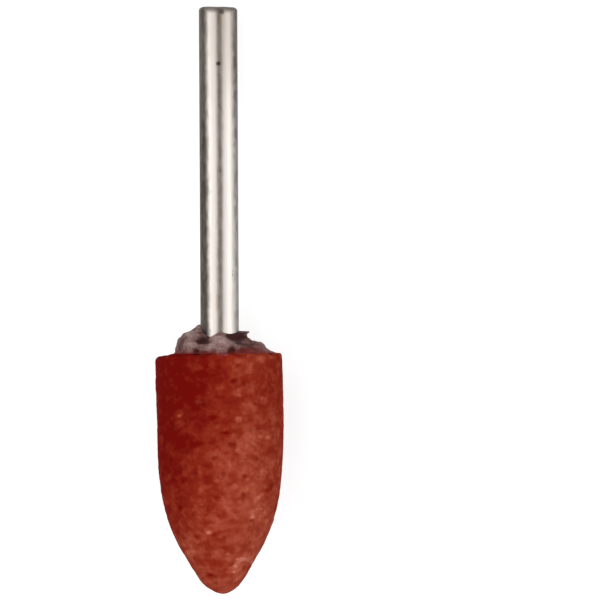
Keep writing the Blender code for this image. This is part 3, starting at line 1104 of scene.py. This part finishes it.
@dataclass
class CementCollar:
    """The cement round the buried shank and the lumpy collar on the stone's top, in millimetres."""

    inner_radius: float = 1.47
    sleeve_radius: float = 1.85
    floor: float = -10.95
    inner_floor: float = -10.55
    foot: float = -0.03
    slack: float = 0.01
    near_axis: float = 0.3
    sides: int = 360
    mound_rings: int = 110
    STEPS = {"floor": 3, "cup": 6, "under": 4, "wall": 8, "inner_floor": 2}
    # Profiles from skirt to shank, every 30 degrees from the right (0) through the front (-90)
    radii: tuple[tuple[float, ...], ...] = (
        (4.52, 4.2, 3.85, 3.58, 3.40, 3.0, 2.5, 2.05, 1.46),
        (4.45, 4.2, 3.9, 3.6, 3.35, 2.95, 2.5, 2.0, 1.46),
        (4.3, 4.1, 3.85, 3.5, 3.1, 2.7, 2.3, 1.85, 1.46),
        (4.1, 3.95, 3.7, 3.3, 2.9, 2.5, 2.1, 1.75, 1.46),
        (3.95, 3.8, 3.6, 3.25, 2.85, 2.45, 2.1, 1.75, 1.46),
        (3.75, 3.6, 3.5, 3.3, 3.05, 2.7, 2.2, 1.8, 1.46),
        (3.62, 3.47, 3.44, 3.33, 3.19, 2.82, 2.17, 1.75, 1.46),
        (3.65, 3.5, 3.42, 3.28, 3.05, 2.7, 2.15, 1.78, 1.46),
        (3.8, 3.65, 3.5, 3.25, 2.95, 2.6, 2.15, 1.78, 1.46),
        (4.0, 3.85, 3.65, 3.35, 2.95, 2.55, 2.15, 1.78, 1.46),
        (4.2, 4.05, 3.8, 3.45, 3.05, 2.65, 2.25, 1.82, 1.46),
        (4.4, 4.15, 3.85, 3.55, 3.3, 2.9, 2.45, 1.95, 1.46),
    )
    heights: tuple[tuple[float, ...], ...] = (
        (-0.03, 0.08, 0.22, 0.44, 0.70, 0.86, 0.98, 1.32, 1.72),
        (-0.03, 0.09, 0.24, 0.47, 0.70, 0.88, 1.05, 1.34, 1.62),
        (-0.03, 0.15, 0.40, 0.68, 0.92, 1.10, 1.25, 1.40, 1.52),
        (-0.03, 0.2, 0.50, 0.80, 1.02, 1.20, 1.36, 1.50, 1.64),
        (-0.03, 0.2, 0.50, 0.80, 1.0, 1.12, 1.18, 1.24, 1.29),
        (-0.03, 0.2, 0.50, 0.85, 1.15, 1.40, 1.52, 1.60, 1.66),
        (-0.03, 0.10, 0.45, 0.80, 1.16, 1.52, 1.83, 2.05, 2.26),
        (-0.03, 0.2, 0.55, 0.90, 1.25, 1.60, 1.90, 2.10, 2.25),
        (-0.03, 0.2, 0.55, 0.90, 1.20, 1.48, 1.75, 1.95, 2.10),
        (-0.03, 0.2, 0.50, 0.82, 1.10, 1.35, 1.55, 1.72, 1.88),
        (-0.03, 0.15, 0.42, 0.72, 0.98, 1.20, 1.40, 1.58, 1.76),
        (-0.03, 0.09, 0.26, 0.50, 0.72, 0.88, 1.05, 1.38, 1.68),
    )
    # A thin spur juts out on the right: how far at most, and the share of that at each height
    spur_reach: float = 0.78
    spur_half_angle: float = math.radians(13)
    spur_heights: tuple[float, ...] = (1.2, 1.36, 1.5, 1.64, 1.72, 1.8)
    spur_shares: tuple[float, ...] = (0.0, 0.2, 0.5, 1.0, 0.75, 0.0)
    # A spill runs over the stone's rim in front, through these places from its lower edge up
    spill_angle: float = math.radians(-87)
    spill_half_angle: float = math.radians(8.5)
    spill_steps: tuple[float, ...] = (0.0, 0.25, 0.6, 1.0, 2.0)
    spill_radii: tuple[float, ...] = (4.96, 5.03, 4.94, 4.6, 3.75)
    spill_heights: tuple[float, ...] = (-0.19, -0.12, 0.02, 0.1, 0.42)
    spill_fade: tuple[float, float] = (1.0, 2.0)
    # Unevenness of the mound, which fades out at its foot and by the shank
    lumps: Relief = Relief(0.8, 0.10)
    nubs: Relief = Relief(0.5, 0.11)
    grit: Relief = Relief(0.16, 0.02)
    pits: Relief = Relief(0.5, 0.12)
    pit_shift: float = 5.0
    pit_levels: tuple[float, float] = (0.55, 0.85)
    fade_width: float = 0.35
    fade_height: float = 0.15
    # Painted light on the lumps and painted shade in the pits: what they add to the shade, and the limits
    # that it is cut off at
    lump_shade: float = 3.6
    pit_shade: float = 1.2
    shade_limits: tuple[float, float] = (-1.2, 1.0)
    # Marks in front: across, height, half-width, half-height, rise, painted light or shade, and red
    marks: tuple[Mark, ...] = (
        Mark(-2.35, 0.62, 0.40, 0.50, 0.20, 0.35),
        Mark(-2.31, 1.50, 0.36, 0.30, 0.14, 1.10),
        Mark(-1.00, 0.55, 0.50, 0.28, 0.20, 0.35),
        Mark(-0.45, 1.12, 0.40, 0.25, 0.10, 0.60),
        Mark(-0.45, 0.68, 0.32, 0.22, 0.06, 0.45),
        Mark(0.12, 0.92, 0.55, 0.40, 0.24, 0.45),
        Mark(-0.30, 0.26, 0.70, 0.20, 0.05, 0.50),
        Mark(1.10, 0.64, 0.34, 0.22, 0.16, 0.0),
        Mark(1.90, 0.50, 0.34, 0.22, 0.16, 0.0),
        Mark(3.05, 0.45, 0.42, 0.24, 0.12, 0.40),
        Mark(-1.33, 1.05, 0.50, 0.29, -0.40, -1.6, 0.1),
        Mark(-1.25, 1.60, 0.40, 0.30, 0.0, -0.5),
        Mark(1.37, 1.36, 0.80, 0.32, -0.36, -1.5, 0.1),
        Mark(0.93, 0.20, 0.30, 0.28, -0.38, -2.0, 0.25),
        Mark(-1.35, 0.06, 0.45, 0.16, 0.0, -0.5, 0.5),
        Mark(-0.45, 0.16, 0.26, 0.22, -0.08, -0.7, 0.3),
        Mark(-1.85, 0.20, 0.24, 0.18, -0.30, -1.1, 0.3),
        Mark(1.45, 0.86, 0.30, 0.22, -0.12, -0.5),
        Mark(2.45, 0.16, 0.95, 0.26, 0.0, -0.3, 0.85),
        Mark(2.25, 0.86, 0.70, 0.32, 0.0, -0.5, 0.2),
        Mark(2.70, 0.44, 0.70, 0.30, 0.0, -0.6, 0.35),
        Mark(1.95, 0.12, 0.80, 0.30, 0.0, -0.2, 1.0),
        Mark(2.9, 0.04, 0.9, 0.24, 0.0, 0.0, 0.8),
        Mark(-3.2, 0.02, 0.6, 0.26, 0.0, 0.0, 0.75),
    )

    def mound(self, turn: Array) -> Array:
        """The mound's smooth shape: a cubic surface through the profiles.

        The spur is pushed outward by a bell curve of the turn. The spill takes the place of the
        mound's foot where a flat-topped bell curve of the turn is near 1.

        Args:
            turn: Angles round the axis.

        Returns:
            Radius and height, with rings on the first axis and the turn on the second.
        """
        knots = np.stack([self.radii, self.heights], axis=-1)
        round_place = (-turn / math.tau * len(knots)) % len(knots)
        rows = cubic_through(knots, round_place, closed=True)
        along = np.linspace(0.0, rows.shape[1] - 1.0, self.mound_rings)
        mound = cubic_through(rows.swapaxes(0, 1), along, closed=False)
        near = np.exp(-((angle_from(turn, 0.0) / self.spur_half_angle) ** 2))
        push = np.interp(mound[..., 1], self.spur_heights, self.spur_shares)
        mound[..., 0] += self.spur_reach * push * near * (mound[..., 0] > self.inner_radius)
        away = angle_from(turn, self.spill_angle) / self.spill_half_angle
        spill = np.exp(-(away**4)) * (1.0 - ease(along, *self.spill_fade))[:, None]
        for part, values in enumerate((self.spill_radii, self.spill_heights)):
            spilt = np.interp(along, self.spill_steps, values)[:, None]
            mound[..., part] += spill * (spilt - mound[..., part])
        return mound

    def build(self, axes: PointAxes) -> bpy.types.Object:
        """Build the cement: cup, underside, mound and inner wall as one closed shell.

        The mound gets lumps of three sizes along its normals, and the marks that show in front: a rise is a
        bell curve of the distance from the mark's middle, and painted light or shade and red stains a
        flat-topped one.

        Args:
            axes: The point's axes.

        Returns:
            The piece.
        """
        turn = np.linspace(0.0, math.tau, self.sides, endpoint=False)
        mound = self.mound(turn)
        radius, up = mound[..., 0], mound[..., 1]
        places = swing(mound, turn)
        coarse, fine = RandomField(21), RandomField(22)
        lumps = self.lumps.rise * coarse.swell(places, self.lumps.size)
        lumps += self.nubs.rise * (0.5 - fine.grains(places, self.nubs.size))
        lumps += self.grit.rise * fine.swell(places, self.grit.size)
        front = in_front(places)
        pits = ease(fine.swell(places + self.pit_shift, self.pits.size), *self.pit_levels) * (1.0 - front)
        height = lumps - self.pits.rise * pits
        # Painted light on the lumps and painted shade in the pits
        shade = self.lump_shade * lumps - self.pit_shade * pits
        red = np.zeros_like(lumps)
        for mark in self.marks:
            span = mark.span(places)
            height += mark.rise * np.exp(-span) * front
            # A mark's painted light or shade and its red, spread flat-topped
            stain_and_shade = np.exp(-(span**2)) * front
            shade += mark.shade * stain_and_shade
            red = np.maximum(red, mark.red * stain_and_shade)
        by_shank = ease(radius, self.inner_radius, self.inner_radius + self.fade_width)
        height *= by_shank * ease(up, self.foot, self.fade_height)
        places = places + outward(places) * height[..., None]
        least = (self.inner_radius - self.slack) / np.hypot(places[..., 0], places[..., 1])
        places[..., :2] *= np.maximum(1.0, least)[..., None]
        places[..., 2] = np.maximum(places[..., 2], np.minimum(up, self.foot))
        flat = np.zeros_like(turn)
        edge = mound[0].T
        floor = (self.near_axis + flat, self.floor + flat)
        cup = (self.sleeve_radius + flat, self.floor + flat)
        cup_top = (self.sleeve_radius + flat, edge[1])
        inner = (self.inner_radius + flat, self.inner_floor + flat)
        inner_middle = (self.near_axis + flat, self.inner_floor + flat)
        before = [
            line_points(floor, cup, self.STEPS["floor"]),
            line_points(cup, cup_top, self.STEPS["cup"]),
            line_points(cup_top, edge, self.STEPS["under"])[:-1],
        ]
        after = [
            line_points(mound[-1].T, inner, self.STEPS["wall"]),
            line_points(inner, inner_middle, self.STEPS["inner_floor"]),
        ]
        before, after = (swing(np.concatenate(rows), turn) for rows in (before, after))
        shell = np.concatenate([before, places, after])
        piece = closed_mesh("cement_collar", axes, shell, (self.floor, self.inner_floor))
        blank = ((len(before), len(after)), (0, 0))
        paint(piece, "shade", np.pad(np.clip(shade, *self.shade_limits), blank))
        paint(piece, "red", np.pad(red, blank))
        return piece


@dataclass
class ShankPin:
    """The steel pin, in millimetres."""

    diameter: float = 3.0
    exposed: float = 26.96
    buried: float = 10.5
    end_round: float = 0.3
    chamfer: float = 0.3
    grooves: int = 3
    groove_width: float = 0.9
    groove_depth: float = 0.2
    groove_pitch: float = 2.4
    groove_flank: float = 0.01
    last_groove: float = 1.9
    buried_ring: float = 0.3
    free_ring: float = 0.2
    # The cut end: how far down it is uneven, how much it lies lower, how it slopes, and its waves
    cut_reach: float = 0.4
    cut_drop: float = 0.03
    cut_slope: float = 0.05
    cut_slope_from: float = 0.5
    cut_waves: Relief = Relief(1.1, 0.05)
    sharp_angle: float = math.radians(40)
    sides: int = 160
    STEPS = {"side": 60, "edge": 10, "face": 5}

    def outline(self, turn: Array) -> Array:
        """Outline from the buried end to the free end: chamfer, grooves, straight side, rounded edge.

        Args:
            turn: Angles round the axis.

        Returns:
            Radius and height, with rings on the first axis and the turn on the second.
        """
        radius = self.diameter / 2
        groove_radius = radius - self.groove_depth
        corners = [
            (self.buried_ring, -self.buried),
            (radius - self.chamfer, -self.buried),
            (radius, self.chamfer - self.buried),
        ]
        for groove in range(self.grooves):
            low = self.last_groove - self.buried + groove * self.groove_pitch
            high = low + self.groove_width
            corners += [(radius, low), (groove_radius, low + self.groove_flank)]
            corners += [(groove_radius, high - self.groove_flank), (radius, high)]
        flat = np.zeros_like(turn)
        buried = np.array(corners)[:, None, :] + flat[None, :, None]
        centre = (radius - self.end_round, self.exposed - self.end_round)
        start = (radius + flat, flat + corners[-1][1])
        side = line_points(start, (radius + flat, flat + centre[1]), self.STEPS["side"])
        edge = arc_points(centre, self.end_round + flat, 0.0, math.pi / 2, self.STEPS["edge"])[1:]
        rim, middle = (centre[0] + flat, flat + self.exposed), (flat + self.free_ring, flat + self.exposed)
        return np.concatenate([buried, side, edge, line_points(rim, middle, self.STEPS["face"])])

    def build(self, axes: PointAxes) -> bpy.types.Object:
        """Build the pin, with a hint of unevenness on its cut end.

        Args:
            axes: The point's axes.

        Returns:
            The piece.
        """
        turn = np.linspace(0.0, math.tau, self.sides, endpoint=False)
        outline = self.outline(turn)
        places = swing(outline, turn)
        cut = ease(outline[..., 1], self.exposed - self.cut_reach, self.exposed)
        slope = self.cut_slope * np.maximum(0.0, places[..., 0] - self.cut_slope_from)
        waves = self.cut_waves.rise * RandomField(31).swell(places, self.cut_waves.size)
        places[..., 2] -= cut * (self.cut_drop + slope + waves)
        pole = float(places[-1, :, 2].mean())
        piece = closed_mesh("shank_pin", axes, places, (-self.buried, pole))
        piece.data.set_sharp_from_angle(angle=self.sharp_angle)
        return piece


# Studio


@dataclass
class Studio:
    """Floor, backdrop, soft light and camera. The backdrop's and lamps' sizes are in metres."""

    floor_radius: float = 0.5
    wall_radius: float = 0.3
    wall_height: float = 0.35
    sides: int = 96
    paper: float = 0.4
    paper_glow: float = 0.72
    # The picture: its width in pixels, millimetres in a pixel, and where the axis and the stone's top are
    picture_width: float = 600.0
    pixel: float = 3.0 / 38.55
    axis_pixel: float = 219.82
    top_pixel: float = 353.0
    lean: float = math.radians(0.30)
    lens: float = 400.0
    sensor: float = 36.0
    clip: float = 100.0
    box_distance: float = 0.45
    right_angle: float = math.radians(51)
    left_angle: float = math.radians(-39)
    box_half_angle: float = math.radians(30)
    box_length: float = 1.5
    right_glow: float = 1.36
    left_glow: float = 1.55
    sky: float = 0.2
    STEPS = {"floor": 8, "sweep": 16, "wall": 3}

    def build(self, axes: PointAxes) -> None:
        """Build the floor, the lamps, the world and the camera.

        Args:
            axes: The point's axes.
        """
        self.backdrop()
        self.softbox("right_softbox", axes, self.right_angle, self.right_glow)
        self.softbox("left_softbox", axes, self.left_angle, self.left_glow)
        self.world()
        self.camera(axes)

    def backdrop(self) -> None:
        """A round pale floor that sweeps up into a low wall on every side.

        The wall is a quarter circle beyond the floor's edge, and a straight stretch, swung round the middle.
        """
        turn = np.linspace(0.0, math.tau, self.sides, endpoint=False)
        flat = np.zeros_like(turn)
        middle, start = (flat, flat), (flat + self.floor_radius, flat)
        centre = (self.floor_radius, self.wall_radius)
        edge = self.floor_radius + self.wall_radius + flat
        foot, top = (edge, flat + self.wall_radius), (edge, flat + self.wall_radius + self.wall_height)
        rows = (
            line_points(middle, start, self.STEPS["floor"]),
            arc_points(centre, self.wall_radius + flat, -math.pi / 2, 0.0, self.STEPS["sweep"])[1:],
            line_points(foot, top, self.STEPS["wall"]),
        )
        places = swing(np.concatenate(rows), turn)
        rings = len(places)
        corners = np.concatenate([places.reshape(-1, 3), [[0.0, 0.0, 0.0]]])
        side = np.arange(self.sides)
        beside = (side + 1) % self.sides
        low = (np.arange(rings - 1) * self.sides)[:, None]
        high = low + self.sides
        quads = np.stack([low + side, high + side, high + beside, low + beside], axis=-1)
        fan = np.stack([np.full(self.sides, rings * self.sides), side, beside], axis=-1)
        mesh = bpy.data.meshes.new("pale_sweep")
        mesh.from_pydata(corners.tolist(), [], quads.reshape(-1, 4).tolist() + fan.tolist())
        mesh.shade_smooth()
        sweep = bpy.data.objects.new("pale_sweep", mesh)
        bpy.context.scene.collection.objects.link(sweep)
        material, w, shader = new_material("pale_paper")
        shader.inputs["Base Color"].default_value = (self.paper, self.paper, self.paper, 1.0)
        shader.inputs["Roughness"].default_value = 1.0
        shader.inputs["Specular IOR Level"].default_value = 0.0
        shader.inputs["Emission Color"].default_value = (1.0, 1.0, 1.0, 1.0)
        rays = w.add("LightPath").outputs
        seen = (rays["Is Camera Ray"], rays["Is Glossy Ray"], rays["Is Transmission Ray"])
        glow = w.math("MULTIPLY", w.chain("MAXIMUM", *seen), self.paper_glow)
        w.feed(shader, {"Emission Strength": glow})
        mesh.materials.append(material)

    def softbox(self, name: str, axes: PointAxes, angle: float, glow: float) -> None:
        """Hang a long soft light beside the camera, in line with the shank.

        Args:
            name: Name of the light.
            axes: The point's axes.
            angle: How far its middle leans from straight up, towards the right.
            glow: Its power for each square metre of its face, over pi.
        """
        width = 2.0 * self.box_distance * math.tan(self.box_half_angle)
        light = bpy.data.lights.new(name, "AREA")
        light.shape = "RECTANGLE"
        light.size = width
        light.size_y = self.box_length
        light.energy = glow * math.pi * width * self.box_length
        lamp = bpy.data.objects.new(name, light)
        lamp.visible_camera = False
        up, ahead = Vector((0.0, 0.0, 1.0)), Vector((0.0, 1.0, 0.0))
        away = up * math.cos(angle) + axes.across * math.sin(angle)
        turn = Matrix((ahead.cross(away), ahead, away)).transposed().to_4x4()
        lamp.matrix_world = Matrix.Translation(away * self.box_distance) @ turn
        bpy.context.scene.collection.objects.link(lamp)

    def world(self) -> None:
        """Fill the room with a dim even light."""
        world = bpy.data.worlds.new("dim_room")
        world.use_nodes = True
        sky = world.node_tree.nodes["Background"]
        sky.inputs["Color"].default_value = (1.0, 1.0, 1.0, 1.0)
        sky.inputs["Strength"].default_value = self.sky
        bpy.context.scene.world = world

    def camera(self, axes: PointAxes) -> None:
        """Put the camera square above the point's axis, as far off as the picture's width asks.

        Args:
            axes: The point's axes.
        """
        data = bpy.data.cameras.new("camera")
        data.lens = self.lens
        data.sensor_width = self.sensor
        camera = bpy.data.objects.new("camera", data)
        bpy.context.scene.collection.objects.link(camera)
        right = axes.across * math.cos(self.lean) - axes.along * math.sin(self.lean)
        up = axes.along * math.cos(self.lean) + axes.across * math.sin(self.lean)
        back = right.cross(up)
        half = self.picture_width / 2
        aside = right * (half - self.axis_pixel) + up * (self.top_pixel - half)
        distance = self.lens / self.sensor * self.picture_width * self.pixel * MM
        place = axes.origin + aside * self.pixel * MM + back * distance
        turn = Matrix((right, up, back)).transposed().to_4x4()
        camera.matrix_world = Matrix.Translation(place) @ turn
        data.clip_start = distance / self.clip
        data.clip_end = distance * self.clip
        bpy.context.scene.camera = camera


@dataclass
class MountedPoint:
    """The whole mounted point."""

    axes: PointAxes
    pin: ShankPin
    head: GrindingHead = field(default_factory=GrindingHead)
    collar: CementCollar = field(default_factory=CementCollar)

    def build(self) -> None:
        """Build, dress and place each piece, and say which solid it stands for."""
        grain = GrainGroup()
        steel = SteelFinish(self.pin.diameter / 2, self.pin.exposed).material(self.axes)
        grit = GritFinish().material(self.axes, grain)
        cement = CementFinish().material(self.axes, grain)
        self.seat(self.pin.build, steel, Node.SHANK)
        self.seat(self.head.build, grit, Node.HEAD)
        self.seat(self.collar.build, cement, Node.CEMENT)

    def seat(
        self,
        build: Callable[[PointAxes], bpy.types.Object],
        material: bpy.types.Material,
        node: Node,
    ) -> None:
        """Build one piece, dress it, and let it ride on the point.

        Args:
            build: Method that builds the piece.
            material: Its material.
            node: The solid that it stands for.
        """
        piece = build(self.axes)
        piece.data.materials.append(material)
        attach(piece, BODY)
        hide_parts(node.value)
        log.info("%s: %d faces, for %s", piece.name, len(piece.data.polygons), node.value)


def main() -> None:
    """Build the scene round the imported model."""
    logging.basicConfig(level=logging.INFO, format="%(name)s: %(message)s")
    for thing in list(bpy.data.objects):
        bpy.data.objects.remove(thing)
    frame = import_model()
    pin = ShankPin()
    axes = PointAxes.from_record(frame["record"], pin.exposed)
    MountedPoint(axes, pin).build()
    Studio().build(axes)
    bpy.context.scene.view_settings.view_transform = "Standard"


if __name__ == "__main__":
    main()
